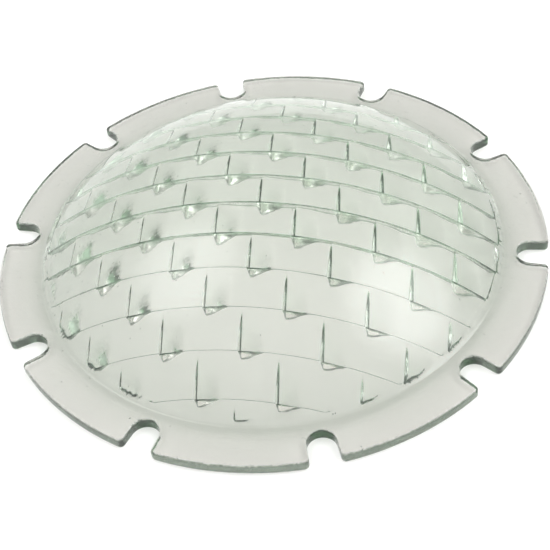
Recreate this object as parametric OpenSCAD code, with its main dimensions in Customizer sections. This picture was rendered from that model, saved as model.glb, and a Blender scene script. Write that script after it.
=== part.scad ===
// Pressed-glass prismatic lens: a shallow dome with a flat notched flange.
//
// The whole object is one piece of tempered glass. The outside of the dome is
// smooth. The inside carries rows of wedge prisms, laid like bricks, that bend
// the light of a lamp below the dome. Ten open notches in the flange take the
// screws that clamp the lens to its ring.
//
// Origin: centre of the seat plane under the flange. +Z goes up to the crown
// of the dome, and +X runs along the prism rows, through the middle of a notch.

/* [Lens] */
// Outside diameter of the flange
lens_d = 213; // [200:1:230]
// Height of the crown above the seat plane
crown_h = 40; // [36:0.5:46]
// Thickness of the plain dome wall
wall_t = 5; // [4:0.5:6]

/* [Flange] */
// Width of the flange, from the foot of the dome to the rim
flange_w = 16; // [15:0.5:18]
// Thickness of the flange at the rim
rim_t = 4.6; // [4:0.1:6]
// Thickness of the flange at the foot of the dome
foot_t = 5.2; // [4.6:0.1:7]
// Radius of the two rounded edges of the rim
rim_edge_r = 1.2; // [0.6:0.1:1.6]

/* [Screw notches] */
// Number of notches around the flange
notch_count = 10; // [6:1:12]
// Width of a notch at its round root
notch_w = 10.4; // [8:0.2:12]
// Depth of a notch, from the rim to the bottom of its root
notch_depth = 12; // [10:0.5:13]
// Angle that each side of a notch opens towards the rim
notch_flare = 2.85; // [0:0.05:5]
// Radius of the corners where a notch meets the rim
mouth_r = 1.6; // [0.8:0.1:2.5]

/* [Prisms] */
// Length of one prism along its row
cell_w = 28.3; // [26:0.1:32]
// Distance from one prism row to the next
row_pitch = 13.9; // [12.5:0.1:16]
// Distance of the pattern from the middle of the lens, along the rows
pattern_x = -1.2; // [-6:0.1:6]
// Distance of the pattern from the middle of the lens, across the rows
pattern_y = 3.4; // [-6:0.1:6]
// Depth of the step at the thick edge of the deep prisms
riser_h = 3.5; // [2:0.1:4]
// Depth of the same step on the shallow prisms, on the -Y side
faint_riser_h = 0.6; // [0.3:0.1:2]
// Extra depth of the tongue at the corner of a prism
tongue_h = 5; // [3:0.1:5.5]
// Length over which a tongue fades out along its row
tongue_w = 10.5; // [7:0.1:12]
// Sideways run of each steep wall, so that the mould lets go
draft = 0.9; // [0.5:0.1:1.2]
// Plain edge left around the prisms, inside the mouth of the dome
plain_edge = 3.5; // [3:0.5:6]

/* [Hidden] */
$fn = 160;
lens_r = lens_d / 2;
foot_r = lens_r - flange_w;
// Sphere through the crown and through the foot circle.
crown_rise = crown_h - foot_t;
outer_r = (foot_r * foot_r + crown_rise * crown_rise) / (2 * crown_rise);
inner_r = outer_r - wall_t;
sphere_z = crown_h - outer_r;
mouth_of_dome_r = sqrt(inner_r * inner_r - sphere_z * sphere_z);
prism_r = mouth_of_dome_r - plain_edge;
// Least glass between a prism and the plain inner sphere.
prism_skin = 0.4;
// Prisms near the mouth stop this far above the seat plane.
seat_gap = 0.8;
// Rows from this one on towards +Y have the full step.
full_row = -1;
// Rows from this one on towards -Y have the faint step.
faint_row = -3;
// Flat facets that follow the curved fade of a tongue.
tongue_facets = 4;
// Cutting solids run this far past the faces that they cut.
over = 1;
notch_r = notch_w / 2;
side_inset = 0.03;
notch_root_r = lens_r - notch_depth + notch_r;

// Remainder that stays positive for negative numbers.
function wrap(value, period) = value - period * floor(value / period);

// How thick a prism is across its row, from 0 at the thin edge to 1 at the
// thick edge, where the riser drops back to 0 within the draft.
function across_row(from_thin_edge) =
    from_thin_edge < row_pitch - draft
        ? from_thin_edge / (row_pitch - draft)
        : (row_pitch - from_thin_edge) / draft;

// Rises gently from 0 to 1 while t goes from 0 to 1.
function ease(t) = t * t * (3 - 2 * t);

// How much tongue there is along a prism: a steep wall, then a gentle fade.
function along_cell(from_wall) =
    from_wall < draft ? from_wall / draft
    : from_wall > tongue_w ? 0
    : ease((tongue_w - from_wall) / (tongue_w - draft));

// Depth of the step of a row, which fades over the rows between full and faint.
function riser_of(row) =
    let(share = max(0, min(1, (row - faint_row) / (full_row - faint_row))))
    faint_riser_h + (riser_h - faint_riser_h) * ease(share);

// Every second row is shifted by half a prism.
function row_shift(row) = wrap(row, 2) == 0 ? cell_w / 2 : 0;

// Glass added below the plain inner sphere at a point.
function prism_depth(x, y) =
    let(
        row = floor((y - pattern_y) / row_pitch),
        from_thin_edge = (row + 1) * row_pitch - (y - pattern_y),
        from_wall = wrap(x - pattern_x - row_shift(row), cell_w)
    )
    prism_skin + across_row(from_thin_edge) * (riser_of(row) + tongue_h * along_cell(from_wall));

// Height of the prismed inner face at a point.
function inner_face_z(x, y) =
    let(plain_z = sphere_z + sqrt(max(inner_r * inner_r - x * x - y * y, 0)))
    max(seat_gap, plain_z - prism_depth(x, y));

// Solid below the prismed inner face, as a grid of flat facets. Its lines
// follow the walls, tongues and risers, so no facet crosses a steep edge.
module prism_plunger() {
    half_cells = ceil((prism_r + abs(pattern_x)) / (cell_w / 2));
    rows = ceil((prism_r + abs(pattern_y)) / row_pitch);
    fade_w = tongue_w - draft;
    x_steps = concat([0], [for (i = [0 : tongue_facets]) draft + fade_w * i / tongue_facets]);
    y_steps = [0, draft, (draft + row_pitch) / 2];
    xs = [
        for (half = [-half_cells : half_cells - 1]) for (step = x_steps)
            pattern_x + half * cell_w / 2 + step
    ];
    ys = [
        for (row = [-rows : rows - 1]) for (step = y_steps)
            pattern_y + row * row_pitch + step
    ];
    nx = len(xs);
    ny = len(ys);
    face_points = [for (y = ys) for (x = xs) [x, y, inner_face_z(x, y)]];
    floor_points = [
        [xs[0], ys[0], -2 * over], [xs[nx - 1], ys[0], -2 * over],
        [xs[nx - 1], ys[ny - 1], -2 * over], [xs[0], ys[ny - 1], -2 * over]
    ];
    base = nx * ny;
    facets = [
        for (j = [0 : ny - 2]) for (i = [0 : nx - 2]) let(k = j * nx + i)
            each [[k, k + nx, k + nx + 1], [k, k + nx + 1, k + 1]]
    ];
    // Each side starts and ends at a floor corner, so that no triangle of it is a sliver.
    near_side = concat([base], [for (i = [0 : nx - 1]) i], [base + 1]);
    far_side = concat([base + 2], [for (i = [nx - 1 : -1 : 0]) (ny - 1) * nx + i], [base + 3]);
    left_side = concat([base + 3], [for (j = [ny - 1 : -1 : 0]) j * nx], [base]);
    right_side = concat([base + 1], [for (j = [0 : ny - 1]) j * nx + nx - 1], [base + 2]);
    polyhedron(
        points = concat(face_points, floor_points),
        faces = concat(facets, [near_side, far_side, left_side, right_side,
                                [base, base + 1, base + 2, base + 3]])
    );
}

// Dome and flange as a solid blank, before the inside is pressed out.
module blank() {
    intersection() {
        translate([0, 0, sphere_z]) sphere(r = outer_r);
        cylinder(r = foot_r + over, h = crown_h + over);
    }
    rotate_extrude() {
        // The top of the flange runs on under the dome, past the foot circle.
        polygon([
            [0, 0], [lens_r - rim_edge_r, 0], [lens_r - rim_edge_r, rim_t],
            [foot_r - flange_w / 2, foot_t + (foot_t - rim_t) / 2], [0, foot_t]
        ]);
        translate([lens_r - 2 * rim_edge_r, rim_edge_r])
            square([2 * rim_edge_r, rim_t - 2 * rim_edge_r]);
        for (z = [rim_edge_r, rim_t - rim_edge_r])
            translate([lens_r - rim_edge_r, z]) circle(r = rim_edge_r);
    }
}

// Space inside the dome: a plain sphere, less the glass of the prisms. The
// resize changes no size: it makes the sphere and the facets one closed skin.
module hollow() {
    resize([0, 0, 0])
        difference() {
            intersection() {
                translate([0, 0, sphere_z]) sphere(r = inner_r);
                translate([0, 0, -over]) cylinder(r = lens_r, h = crown_h + over);
            }
            difference() {
                translate([0, 0, -1.5 * over]) cylinder(r = prism_r, h = crown_h + 2 * over);
                prism_plunger();
            }
        }
}

// Outline of one notch, pointing along +X: round root, flared sides and
// rounded corners at the rim. The sides start just inside the round root, so
// that they cross it and don't only touch it.
module notch_outline() {
    side_r = notch_r - side_inset;
    side = [-side_r * sin(notch_flare), side_r * cos(notch_flare)];
    mouth_x = lens_r - notch_root_r;
    mouth_y = side[1] + (mouth_x - side[0]) * tan(notch_flare);
    past = mouth_x + over;
    past_y = side[1] + (past - side[0]) * tan(notch_flare);
    translate([notch_root_r, 0]) {
        circle(r = notch_r);
        polygon([side, [past, past_y], [past, -past_y], [side[0], -side[1]]]);
        for (s = [-1, 1])
            difference() {
                translate([mouth_x - mouth_r, s > 0 ? 0 : -mouth_y - mouth_r])
                    square([mouth_r + over, mouth_y + mouth_r]);
                translate([mouth_x - mouth_r, s * (mouth_y + mouth_r)]) circle(r = mouth_r);
            }
    }
}

module notches() {
    for (i = [0 : notch_count - 1])
        rotate([0, 0, i * 360 / notch_count])
            translate([0, 0, -over])
                linear_extrude(foot_t + 2 * over) notch_outline();
}

// The finished lens, one piece of clear glass with a faint green cast.
module lens() {
    color([0.82, 0.9, 0.85, 0.6])
        difference() {
            blank();
            hollow();
            notches();
        }
}

lens();
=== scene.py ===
import math
import bpy
import numpy as np
from mathutils import Matrix, Vector


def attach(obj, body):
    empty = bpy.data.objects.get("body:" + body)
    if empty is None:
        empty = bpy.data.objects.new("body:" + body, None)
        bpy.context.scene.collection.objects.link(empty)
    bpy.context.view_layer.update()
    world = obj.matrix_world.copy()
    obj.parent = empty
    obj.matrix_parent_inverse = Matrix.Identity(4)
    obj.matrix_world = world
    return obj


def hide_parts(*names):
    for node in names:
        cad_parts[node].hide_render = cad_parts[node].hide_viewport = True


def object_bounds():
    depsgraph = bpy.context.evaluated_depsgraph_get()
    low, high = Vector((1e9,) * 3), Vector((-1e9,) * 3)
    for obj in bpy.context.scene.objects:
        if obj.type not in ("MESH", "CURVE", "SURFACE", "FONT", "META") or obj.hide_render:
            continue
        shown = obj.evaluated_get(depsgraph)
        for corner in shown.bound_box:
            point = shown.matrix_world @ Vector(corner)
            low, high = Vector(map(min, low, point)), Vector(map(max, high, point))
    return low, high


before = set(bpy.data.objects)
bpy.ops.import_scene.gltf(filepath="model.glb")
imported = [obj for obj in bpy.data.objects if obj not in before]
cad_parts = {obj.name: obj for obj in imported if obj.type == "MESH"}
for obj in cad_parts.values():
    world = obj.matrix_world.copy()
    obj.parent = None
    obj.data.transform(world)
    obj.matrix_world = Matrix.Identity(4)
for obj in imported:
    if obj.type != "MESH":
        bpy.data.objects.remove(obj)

# ---------------------------------------------------------------------------
# Sizes. Every length follows from the frame: its rim radius and crown height.
# ---------------------------------------------------------------------------
CAD_LOW, CAD_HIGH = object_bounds()
LENS_R = CAD_HIGH.y
CROWN_Z = CAD_HIGH.z
MM = LENS_R / 106.5

# Flange
FOOT_R = LENS_R - 16.0 * MM
FOOT_T = 5.2 * MM
RIM_T = 4.6 * MM
EDGE_R = 1.2 * MM
FOOT_BLEND = 0.8 * MM

# Screw notches
NOTCHES = 10
NOTCH_R = 5.2 * MM
NOTCH_DEPTH = 12.0 * MM
NOTCH_FLARE = math.radians(2.85)
MOUTH_R = 1.8 * MM
ROOT_X = LENS_R - NOTCH_DEPTH + NOTCH_R

# Dome
WALL_T = 5.0 * MM
CROWN_RISE = CROWN_Z - FOOT_T
OUTER_R = (FOOT_R ** 2 + CROWN_RISE ** 2) / (2 * CROWN_RISE)
INNER_R = OUTER_R - WALL_T
SPHERE_Z = CROWN_Z - OUTER_R
DOME_MOUTH_R = math.sqrt(INNER_R ** 2 - SPHERE_Z ** 2)
MOUTH_BLEND = 0.5 * MM

# Prisms
PRISM_R = DOME_MOUTH_R - 3.5 * MM
CELL_W = 28.3 * MM
ROW_PITCH = 13.9 * MM
PATTERN_X = -1.2 * MM
PATTERN_Y = 3.4 * MM
RISER_H = 3.5 * MM
FAINT_RISER_H = 0.6 * MM
FULL_ROW = -1
FAINT_ROW = -3
TONGUE_H = 5.0 * MM
TONGUE_W = 10.5 * MM
WALL_RUN = 0.9 * MM
RISER_RUN = 0.5 * MM
PRISM_SKIN = 0.4 * MM
SEAT_GAP = 0.8 * MM
RING_FADE = 0.8 * MM


# ---------------------------------------------------------------------------
# Height fields of the two faces of the glass
# ---------------------------------------------------------------------------
def smooth_max(a, b, blend):
    """The larger of a and b, with a fillet of about that size where they meet."""
    return (a + b + np.sqrt((a - b) ** 2 + blend ** 2)) / 2


def smooth_step(t):
    """Rises gently from 0 to 1 while t goes from 0 to 1."""
    t = np.clip(t, 0, 1)
    return t * t * (3 - 2 * t)


def sphere_height(r, radius):
    return SPHERE_Z + np.sqrt(np.maximum(radius ** 2 - r ** 2, 0))


def top_height(r):
    """Outer face: the dome, a small fillet at its foot, then the flange."""
    out = np.clip((r - FOOT_R) / (LENS_R - FOOT_R), 0, 1)
    flange = FOOT_T + (RIM_T - FOOT_T) * out
    return np.minimum(smooth_max(sphere_height(r, OUTER_R), flange, FOOT_BLEND), CROWN_Z)


def under_height(r):
    """Plain inner face: the flat seat, a rounded mouth, then the inner sphere."""
    return smooth_max(sphere_height(r, INNER_R) - MOUTH_BLEND, 0.0 * r, MOUTH_BLEND)


def across_row(from_thin_edge):
    """0 at a prism's thin edge, 1 at its thick edge, and back to 0 down the riser."""
    slope_w = ROW_PITCH - RISER_RUN
    riser = 1 - smooth_step((from_thin_edge - slope_w) / RISER_RUN)
    return np.where(from_thin_edge < slope_w, from_thin_edge / slope_w, riser)


def along_cell(from_wall):
    """Up a cell's steep wall from 0 to 1, then gently down to 0 over the rest of the tongue."""
    wall = smooth_step(from_wall / WALL_RUN)
    back = 1 - smooth_step((from_wall - WALL_RUN) / (TONGUE_W - WALL_RUN))
    return np.where(from_wall < WALL_RUN, wall, back)


def riser_of(row):
    """Depth of a row's step, which fades over the rows between full and faint."""
    share = smooth_step((row - FAINT_ROW) / (FULL_ROW - FAINT_ROW))
    return FAINT_RISER_H + (RISER_H - FAINT_RISER_H) * share


def prism_depth(x, y):
    """Glass that the prisms add below the inner sphere."""
    row = np.floor((y - PATTERN_Y) / ROW_PITCH)
    from_thin_edge = (row + 1) * ROW_PITCH - (y - PATTERN_Y)
    shift = np.where(row % 2 == 0, CELL_W / 2, 0)
    from_wall = (x - PATTERN_X - shift) % CELL_W
    ring = smooth_step((PRISM_R + RING_FADE / 2 - np.hypot(x, y)) / RING_FADE)
    tongue = TONGUE_H * along_cell(from_wall)
    return ring * (PRISM_SKIN + across_row(from_thin_edge) * (riser_of(row) + tongue))


def prism_height(x, y):
    """Inner face with its prisms, which stop a little above the seat near the mouth."""
    plain = under_height(np.hypot(x, y))
    return np.maximum(plain - prism_depth(x, y), np.minimum(plain, SEAT_GAP))


# ---------------------------------------------------------------------------
# Outline of the notched flange, moved in by any distance
# ---------------------------------------------------------------------------
ROOT_STEPS, SIDE_STEPS, CORNER_STEPS, RIM_STEPS = 14, 6, 8, 26


def arc(centre, radius, start, end, steps):
    angles = np.linspace(start, end, steps, endpoint=False)
    return np.c_[centre[0] + radius * np.cos(angles), centre[1] + radius * np.sin(angles)]


def half_pitch_outline(inset):
    """From the bottom of the notch on +X to the middle of the next tab."""
    along = np.array([math.cos(NOTCH_FLARE), math.sin(NOTCH_FLARE)])
    aside = np.array([-along[1], along[0]])
    root = np.array([ROOT_X, 0.0])
    start = root + (NOTCH_R + MOUTH_R) * aside
    reach = -start @ along + math.sqrt((start @ along) ** 2 - start @ start + (LENS_R - MOUTH_R) ** 2)
    corner = start + reach * along
    corner_angle = math.atan2(corner[1], corner[0])
    root_arc = arc(root, NOTCH_R + inset, math.pi, math.pi / 2 + NOTCH_FLARE, ROOT_STEPS)
    side_start = root + (NOTCH_R + inset) * aside
    side = side_start + np.linspace(0, reach, SIDE_STEPS, endpoint=False)[:, None] * along
    corner_arc = arc(corner, MOUTH_R - inset, NOTCH_FLARE - math.pi / 2, corner_angle, CORNER_STEPS)
    rim = arc((0, 0), LENS_R - inset, corner_angle, math.pi / NOTCHES, RIM_STEPS)
    return np.vstack([root_arc, side, corner_arc, rim])


def outline(inset):
    """The whole outline: one pitch, mirrored about its tab, then repeated for each notch."""
    half = half_pitch_outline(inset)
    tab = math.pi / NOTCHES
    middle = np.array([[math.cos(tab), math.sin(tab)]]) * (LENS_R - inset)
    mirror = np.array([[math.cos(2 * tab), math.sin(2 * tab)], [math.sin(2 * tab), -math.cos(2 * tab)]])
    back = (half[1:] @ mirror.T)[::-1]
    pitch = np.vstack([half, middle, back])
    turned = []
    for i in range(NOTCHES):
        a = 2 * tab * i
        turn = np.array([[math.cos(a), -math.sin(a)], [math.sin(a), math.cos(a)]])
        turned.append(pitch @ turn.T)
    return np.vstack(turned)


# ---------------------------------------------------------------------------
# The glass as one closed skin
# ---------------------------------------------------------------------------
class Skin:
    """Collects points and faces of one mesh."""

    def __init__(self):
        self.points = []
        self.faces = []

    def add(self, xyz):
        first = len(self.points)
        self.points.extend(map(tuple, xyz))
        return list(range(first, len(self.points)))

    def band(self, a, b):
        """Quads between two rings of the same number of points."""
        n = len(a)
        for i in range(n):
            j = (i + 1) % n
            self.faces.append((a[i], a[j], b[j], b[i]))


def circle_ring(r, count):
    a = 2 * math.pi * np.arange(count) / count
    return np.c_[r * np.cos(a), r * np.sin(a)]


def with_height(xy, height):
    return np.c_[xy, height(np.hypot(xy[:, 0], xy[:, 1]))]


# The rings run closer together where a face curves more.
DOME_RINGS, FOOT_RINGS, FLANGE_RINGS, EDGE_RINGS, SEAT_RINGS, MOUTH_RINGS = 44, 20, 10, 7, 7, 16
NEAR_FOOT = FOOT_R - 2.5 * MM
PAST_FOOT = FOOT_R + 2.0 * MM
SEAT_INNER = DOME_MOUTH_R + 2.5 * MM
PLAIN_INNER = PRISM_R + 1.9 * MM
GRID_OUTER = PRISM_R + 1.2 * MM


def add_outer_face(skin, count, edge_top):
    """Crown, dome, foot and flange top, out to the start of the rounded edge."""
    crown = skin.add([(0, 0, top_height(np.array([0.0]))[0])])[0]
    radii = [*np.linspace(0, NEAR_FOOT, DOME_RINGS)[1:], *np.linspace(NEAR_FOOT, PAST_FOOT, FOOT_RINGS)[1:]]
    rings = [skin.add(with_height(circle_ring(r, count), top_height)) for r in radii]
    for i in range(count):
        skin.faces.append((crown, rings[0][i], rings[0][(i + 1) % count]))
    inner = circle_ring(PAST_FOOT, count)
    for t in np.linspace(0, 1, FLANGE_RINGS)[1:-1]:
        rings.append(skin.add(with_height(inner + (edge_top - inner) * t, top_height)))
    for a, b in zip(rings, rings[1:]):
        skin.band(b, a)
    return rings[-1]


def add_rim(skin, last):
    """The two rounded edges and the wall between them, all round the outline."""
    steps = np.linspace(0, math.pi / 2, EDGE_RINGS)
    edge_z = top_height(np.hypot(*outline(EDGE_R).T))
    for a in steps:
        z = edge_z - EDGE_R * (1 - math.cos(a))
        ring = skin.add(np.c_[outline(EDGE_R * (1 - math.sin(a))), z])
        skin.band(ring, last)
        last = ring
    for a in steps:
        z = np.full(len(edge_z), EDGE_R * (1 - math.sin(a)))
        ring = skin.add(np.c_[outline(EDGE_R * (1 - math.cos(a))), z])
        skin.band(ring, last)
        last = ring
    return last


def add_seat(skin, count, last):
    """The flat seat under the flange, the mouth edge and the plain ring inside it."""
    edge_bottom = outline(EDGE_R)
    outer = circle_ring(SEAT_INNER, count)
    for t in np.linspace(0, 1, SEAT_RINGS)[1:]:
        xy = edge_bottom + (outer - edge_bottom) * t
        ring = skin.add(np.c_[xy, np.zeros(count)])
        skin.band(ring, last)
        last = ring
    for r in np.linspace(SEAT_INNER, PLAIN_INNER, MOUTH_RINGS)[1:]:
        ring = skin.add(with_height(circle_ring(r, count), under_height))
        skin.band(ring, last)
        last = ring
    return last


def grid_lines(pitch, fine, half_count):
    """Lines across the prisms: close together at each steep wall, wider between."""
    lines = [k * pitch + s for k in range(-half_count, half_count) for s in fine]
    return np.array(lines + [half_count * pitch])


WALL_STEPS, BACK_STEPS, PLAIN_STEPS, RISER_STEPS, SLOPE_STEPS = 7, 13, 8, 10, 13


def add_prisms(skin, last):
    """The prismed inner face, on a grid whose lines follow its walls and risers."""
    wall = np.linspace(0, WALL_RUN, WALL_STEPS)
    back = np.linspace(WALL_RUN, TONGUE_W, BACK_STEPS)
    plain = np.linspace(TONGUE_W, CELL_W / 2, PLAIN_STEPS)
    riser = np.linspace(0, RISER_RUN, RISER_STEPS)
    slope = np.linspace(RISER_RUN, ROW_PITCH, SLOPE_STEPS)
    x_fine = [*wall[:-1], *back[:-1], *plain[:-1]]
    y_fine = [*riser[:-1], *slope[:-1]]
    xs = PATTERN_X + grid_lines(CELL_W / 2, x_fine, math.ceil(LENS_R / (CELL_W / 2)))
    ys = PATTERN_Y + grid_lines(ROW_PITCH, y_fine, math.ceil(LENS_R / ROW_PITCH))
    gx, gy = np.meshgrid(xs, ys)
    inside = np.hypot(gx, gy) < GRID_OUTER
    cell = inside[:-1, :-1] & inside[1:, :-1] & inside[:-1, 1:] & inside[1:, 1:]
    used = np.zeros_like(inside)
    rows, columns = cell.shape
    for dj in (0, 1):
        for di in (0, 1):
            used[dj:rows + dj, di:columns + di] |= cell
    index = np.full(used.shape, -1)
    points = np.c_[gx[used], gy[used], prism_height(gx, gy)[used]]
    index[used] = skin.add(points)
    for j, i in zip(*np.nonzero(cell)):
        skin.faces.append((index[j, i], index[j + 1, i], index[j + 1, i + 1], index[j, i + 1]))
    stitch(skin, border(cell, index), last)


def border(cell, index):
    """The points on the outer edge of the used cells."""
    padded = np.pad(cell, 1)
    on_edge = set()
    for j, i in zip(*np.nonzero(cell)):
        corners = index[j, i], index[j + 1, i], index[j + 1, i + 1], index[j, i + 1]
        neighbours = padded[j + 1, i], padded[j + 2, i + 1], padded[j + 1, i + 2], padded[j, i + 1]
        for side, filled in enumerate(neighbours):
            if not filled:
                on_edge.add(int(corners[side]))
                on_edge.add(int(corners[(side + 1) % 4]))
    return on_edge


def stitch(skin, edge_points, ring):
    """Triangles between the stepped edge of the grid and the plain ring round it."""
    def turn(k):
        return math.atan2(skin.points[k][1], skin.points[k][0]) % (2 * math.pi)

    inner = sorted(edge_points, key=turn)
    outer = sorted(ring, key=turn)
    i = j = 0
    while i < len(inner) or j < len(outer):
        a, b = inner[i % len(inner)], outer[j % len(outer)]
        next_inner = turn(inner[i + 1]) if i + 1 < len(inner) else 2 * math.pi + turn(inner[0])
        next_outer = turn(outer[j + 1]) if j + 1 < len(outer) else 2 * math.pi + turn(outer[0])
        if j >= len(outer) or (i < len(inner) and next_inner < next_outer):
            i += 1
            skin.faces.append((a, inner[i % len(inner)], b))
        else:
            j += 1
            skin.faces.append((a, outer[j % len(outer)], b))


def build_glass():
    skin = Skin()
    edge_top = outline(EDGE_R)
    count = len(edge_top)
    last = add_outer_face(skin, count, edge_top)
    last = add_rim(skin, last)
    last = add_seat(skin, count, last)
    add_prisms(skin, last)
    mesh = bpy.data.meshes.new("lens_glass")
    mesh.from_pydata(skin.points, [], [tuple(int(k) for k in f) for f in skin.faces])
    mesh.validate()
    mesh.shade_smooth()
    glass = bpy.data.objects.new("lens_glass", mesh)
    bpy.context.scene.collection.objects.link(glass)
    return glass


# ---------------------------------------------------------------------------
# Materials
# ---------------------------------------------------------------------------
# Thin glass is almost neutral, and the tint gathers green along long paths.
GLASS_COLOUR = (0.996, 0.951, 0.956, 1)
GLASS_IOR = 1.52
TINT_COLOUR = (0.50, 0.87, 0.56, 1)
TINT_DENSITY = 20

# Where the flange's finish takes over from the dome's, and the inner face's from the outer's
FLANGE_FADE = 1.5 * MM
INSIDE_LOW = INNER_R + 1.0 * MM
INSIDE_HIGH = INNER_R + 3.0 * MM

# Soft streaks of the pressed inner face, drawn out along the rows
EVEN = (1, 1, 1)
STREAK_STRETCH = (0.15, 1, 1)
STREAK_SIZE = 4.0 * MM
STREAK_DEPTH = 0.35 * MM
STREAK_DETAIL = 2

# Fine grain of the flange
GRAIN_SIZE = 0.9 * MM
GRAIN_DEPTH = 0.14 * MM
GRAIN_DETAIL = 3

# Gas bubbles: mean spacing, depth of the dimple, and its core and edge as shares of the spacing
SEED_SPACING = 4.5 * MM
SEED_DEPTH = 0.08 * MM
SEED_CORE, SEED_EDGE = 0.03, 0.09

# Roughness: patches of light wear everywhere, and what the flange and the inner face add
WEAR_SIZE = 25 * MM
WEAR_DETAIL = 4
WEAR_START, WEAR_FULL = 0.4, 0.7
WEAR_LOW, WEAR_HIGH = 0.01, 0.05
FLANGE_ROUGH = 0.08
INSIDE_ROUGH = 0.17

PAPER_COLOUR = (0.92, 0.92, 0.91, 1)
PAPER_ROUGH = 0.9


def noise(tree, stretch, scale, detail):
    """Noise over the object's own coordinates, drawn out by a factor for each axis."""
    place = tree.nodes.new("ShaderNodeTexCoord")
    mapping = tree.nodes.new("ShaderNodeMapping")
    mapping.inputs["Scale"].default_value = stretch
    texture = tree.nodes.new("ShaderNodeTexNoise")
    texture.inputs["Scale"].default_value = scale
    texture.inputs["Detail"].default_value = detail
    tree.links.new(place.outputs["Object"], mapping.inputs["Vector"])
    tree.links.new(mapping.outputs["Vector"], texture.inputs["Vector"])
    return texture.outputs["Fac"]


def remap(tree, value, low, high, out_low, out_high):
    """Maps low..high smoothly to out_low..out_high, and holds the ends."""
    node = tree.nodes.new("ShaderNodeMapRange")
    node.interpolation_type = "SMOOTHSTEP"
    for name, number in (("From Min", low), ("From Max", high), ("To Min", out_low), ("To Max", out_high)):
        node.inputs[name].default_value = number
    tree.links.new(value, node.inputs["Value"])
    return node.outputs["Result"]


def combine(tree, operation, a, b):
    node = tree.nodes.new("ShaderNodeMath")
    node.operation = operation
    tree.links.new(a, node.inputs[0])
    tree.links.new(b, node.inputs[1])
    return node.outputs["Value"]


def distance_from(tree, centre, stretch):
    """Distance of a point of the glass from a centre, with each axis scaled first."""
    place = tree.nodes.new("ShaderNodeTexCoord")
    offset = tree.nodes.new("ShaderNodeVectorMath")
    offset.operation = "SUBTRACT"
    offset.inputs[1].default_value = centre
    scaled = tree.nodes.new("ShaderNodeVectorMath")
    scaled.operation = "MULTIPLY"
    scaled.inputs[1].default_value = stretch
    reach = tree.nodes.new("ShaderNodeVectorMath")
    reach.operation = "LENGTH"
    tree.links.new(place.outputs["Object"], offset.inputs[0])
    tree.links.new(offset.outputs["Vector"], scaled.inputs[0])
    tree.links.new(scaled.outputs["Vector"], reach.inputs[0])
    return reach.outputs["Value"]


def flange_mask(tree):
    """0 on the dome and 1 on the flange."""
    from_axis = distance_from(tree, (0, 0, 0), (1, 1, 0))
    return remap(tree, from_axis, FOOT_R, FOOT_R + FLANGE_FADE, 0, 1)


def inside_mask(tree):
    """1 on the pressed inner face of the dome and 0 on its polished outer face."""
    from_centre = distance_from(tree, (0, 0, SPHERE_Z), EVEN)
    return remap(tree, from_centre, INSIDE_LOW, INSIDE_HIGH, 1, 0)


def seeds(tree):
    """Small gas bubbles frozen in the glass, seen as round dimples."""
    place = tree.nodes.new("ShaderNodeTexCoord")
    cells = tree.nodes.new("ShaderNodeTexVoronoi")
    cells.inputs["Scale"].default_value = 1 / SEED_SPACING
    tree.links.new(place.outputs["Object"], cells.inputs["Vector"])
    return remap(tree, cells.outputs["Distance"], SEED_CORE, SEED_EDGE, 1, 0)


def add_bump(tree, height, distance, before=None):
    node = tree.nodes.new("ShaderNodeBump")
    node.inputs["Distance"].default_value = distance
    tree.links.new(height, node.inputs["Height"])
    if before:
        tree.links.new(before, node.inputs["Normal"])
    return node.outputs["Normal"]


def glass_material():
    """Clear pressed glass with a faint green cast. The prisms have soft streaks along
    their rows, the flange a fine grain from the mould, and both a few bubbles."""
    material = bpy.data.materials.new("pressed_glass")
    material.use_nodes = True
    tree = material.node_tree
    shader = tree.nodes["Principled BSDF"]
    shader.inputs["Base Color"].default_value = GLASS_COLOUR
    shader.inputs["Transmission Weight"].default_value = 1.0
    shader.inputs["IOR"].default_value = GLASS_IOR

    flange = flange_mask(tree)
    inside = inside_mask(tree)
    grain = combine(tree, "MULTIPLY", noise(tree, EVEN, 1 / GRAIN_SIZE, GRAIN_DETAIL), flange)
    streaks = noise(tree, STREAK_STRETCH, 1 / STREAK_SIZE, STREAK_DETAIL)
    streaks = combine(tree, "MULTIPLY", streaks, inside)
    normal = add_bump(tree, streaks, STREAK_DEPTH)
    normal = add_bump(tree, grain, GRAIN_DEPTH, normal)
    normal = add_bump(tree, seeds(tree), SEED_DEPTH, normal)
    tree.links.new(normal, shader.inputs["Normal"])
    wear = noise(tree, EVEN, 1 / WEAR_SIZE, WEAR_DETAIL)
    roughness = remap(tree, wear, WEAR_START, WEAR_FULL, WEAR_LOW, WEAR_HIGH)
    for mask, extra in ((flange, FLANGE_ROUGH), (inside, INSIDE_ROUGH)):
        roughness = combine(tree, "ADD", roughness, remap(tree, mask, 0, 1, 0, extra))
    tree.links.new(roughness, shader.inputs["Roughness"])

    tint = tree.nodes.new("ShaderNodeVolumeAbsorption")
    tint.inputs["Color"].default_value = TINT_COLOUR
    tint.inputs["Density"].default_value = TINT_DENSITY
    tree.links.new(tint.outputs["Volume"], tree.nodes["Material Output"].inputs["Volume"])
    return material


def floor_material():
    material = bpy.data.materials.new("floor_paper")
    material.use_nodes = True
    shader = material.node_tree.nodes["Principled BSDF"]
    shader.inputs["Base Color"].default_value = PAPER_COLOUR
    shader.inputs["Roughness"].default_value = PAPER_ROUGH
    return material


# ---------------------------------------------------------------------------
# Stage, lights and camera
# ---------------------------------------------------------------------------
FLOOR_HALF = 20 * LENS_R
FLOOR_GAP = 0.05 * MM


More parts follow.
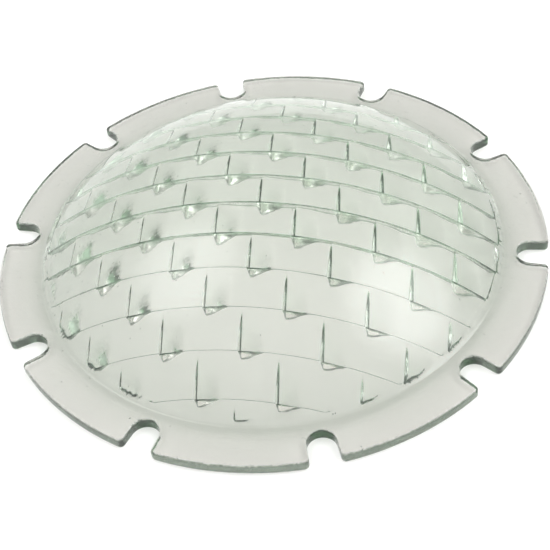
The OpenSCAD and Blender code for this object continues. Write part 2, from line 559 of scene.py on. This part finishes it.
def add_floor():
    mesh = bpy.data.meshes.new("floor")
    z = CAD_LOW.z - FLOOR_GAP
    corners = [(FLOOR_HALF * x, FLOOR_HALF * y, z) for x, y in ((-1, -1), (1, -1), (1, 1), (-1, 1))]
    mesh.from_pydata(corners, [], [(0, 1, 2, 3)])
    mesh.materials.append(floor_material())
    floor = bpy.data.objects.new("floor", mesh)
    bpy.context.scene.collection.objects.link(floor)


# The room is as bright as ROOM_LOW below the first height and as ROOM_HIGH above the second.
# A height is the sine of the elevation.
ROOM_HEIGHTS = (0.05, 0.65)
ROOM_LOW, ROOM_HIGH = 1.20, 1.37

# Patches of the room, in degrees: azimuth, elevation, reach of the middle, reach of the edge
BEHIND = (180, 42, 25, 72)
RIGHT = (101, 50, 2, 23)
LEFT = (-107, 58, 2, 21)
BEHIND_SHADE = 0.60
RIGHT_GLOW, LEFT_GLOW = 3.5, 2.3


def direction(azimuth, elevation):
    """Unit vector towards a place in the studio. Azimuth 0 is -Y and 90 is +X."""
    a, e = math.radians(azimuth), math.radians(elevation)
    return Vector((math.sin(a) * math.cos(e), -math.cos(a) * math.cos(e), math.sin(e)))


def soft_patch(tree, patch, around, inside):
    """A round patch of the studio with no hard edge: one value inside, another around."""
    azimuth, elevation, middle, spread = patch
    place = tree.nodes.new("ShaderNodeTexCoord")
    near = tree.nodes.new("ShaderNodeVectorMath")
    near.operation = "DOT_PRODUCT"
    near.inputs[1].default_value = direction(azimuth, elevation)
    tree.links.new(place.outputs["Generated"], near.inputs[0])
    edge, core = math.cos(math.radians(spread)), math.cos(math.radians(middle))
    return remap(tree, near.outputs["Value"], edge, core, around, inside)


def add_studio():
    """White room, dimmer low down and behind, with a soft light to the right and the left."""
    world = bpy.data.worlds.new("studio")
    world.use_nodes = True
    tree = world.node_tree
    place = tree.nodes.new("ShaderNodeTexCoord")
    height = tree.nodes.new("ShaderNodeSeparateXYZ")
    tree.links.new(place.outputs["Generated"], height.inputs["Vector"])
    room = remap(tree, height.outputs["Z"], *ROOM_HEIGHTS, ROOM_LOW, ROOM_HIGH)
    behind = soft_patch(tree, BEHIND, 1, BEHIND_SHADE)
    right = soft_patch(tree, RIGHT, 0, RIGHT_GLOW)
    left = soft_patch(tree, LEFT, 0, LEFT_GLOW)
    light = combine(tree, "MULTIPLY", room, behind)
    for lamp in (right, left):
        light = combine(tree, "ADD", light, lamp)
    tree.links.new(light, tree.nodes["Background"].inputs["Strength"])
    tree.nodes["Background"].inputs["Color"].default_value = (1, 1, 1, 1)
    bpy.context.scene.world = world
    # White paper reads as plain white.
    bpy.context.scene.view_settings.view_transform = "Standard"


# The camera looks at a point of the seat plane, a little in front of the centre.
VIEW_AZIMUTH = 12.87
VIEW_ELEVATION = 45.54
VIEW_ROLL = math.radians(-6.92)
VIEW_DISTANCE = 4.726 * LENS_R
VIEW_POINT = Vector((0.0287, -0.1218, 0.0)) * LENS_R
FIELD_OF_VIEW = math.radians(23.78)


def add_camera():
    data = bpy.data.cameras.new("camera")
    data.sensor_fit = "HORIZONTAL"
    data.angle = FIELD_OF_VIEW
    data.clip_start = 0.1 * LENS_R
    data.clip_end = 100 * LENS_R
    camera = bpy.data.objects.new("camera", data)
    back = direction(VIEW_AZIMUTH, VIEW_ELEVATION)
    right = direction(VIEW_AZIMUTH + 90, 0)
    up = back.cross(right)
    axes = Matrix((right, up, back)).transposed() @ Matrix.Rotation(VIEW_ROLL, 3, "Z")
    camera.matrix_world = Matrix.Translation(VIEW_POINT + back * VIEW_DISTANCE) @ axes.to_4x4()
    bpy.context.scene.collection.objects.link(camera)
    bpy.context.scene.camera = camera


glass = build_glass()
glass.data.materials.append(glass_material())
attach(glass, "root")
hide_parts("lens")
add_floor()
add_studio()
add_camera()
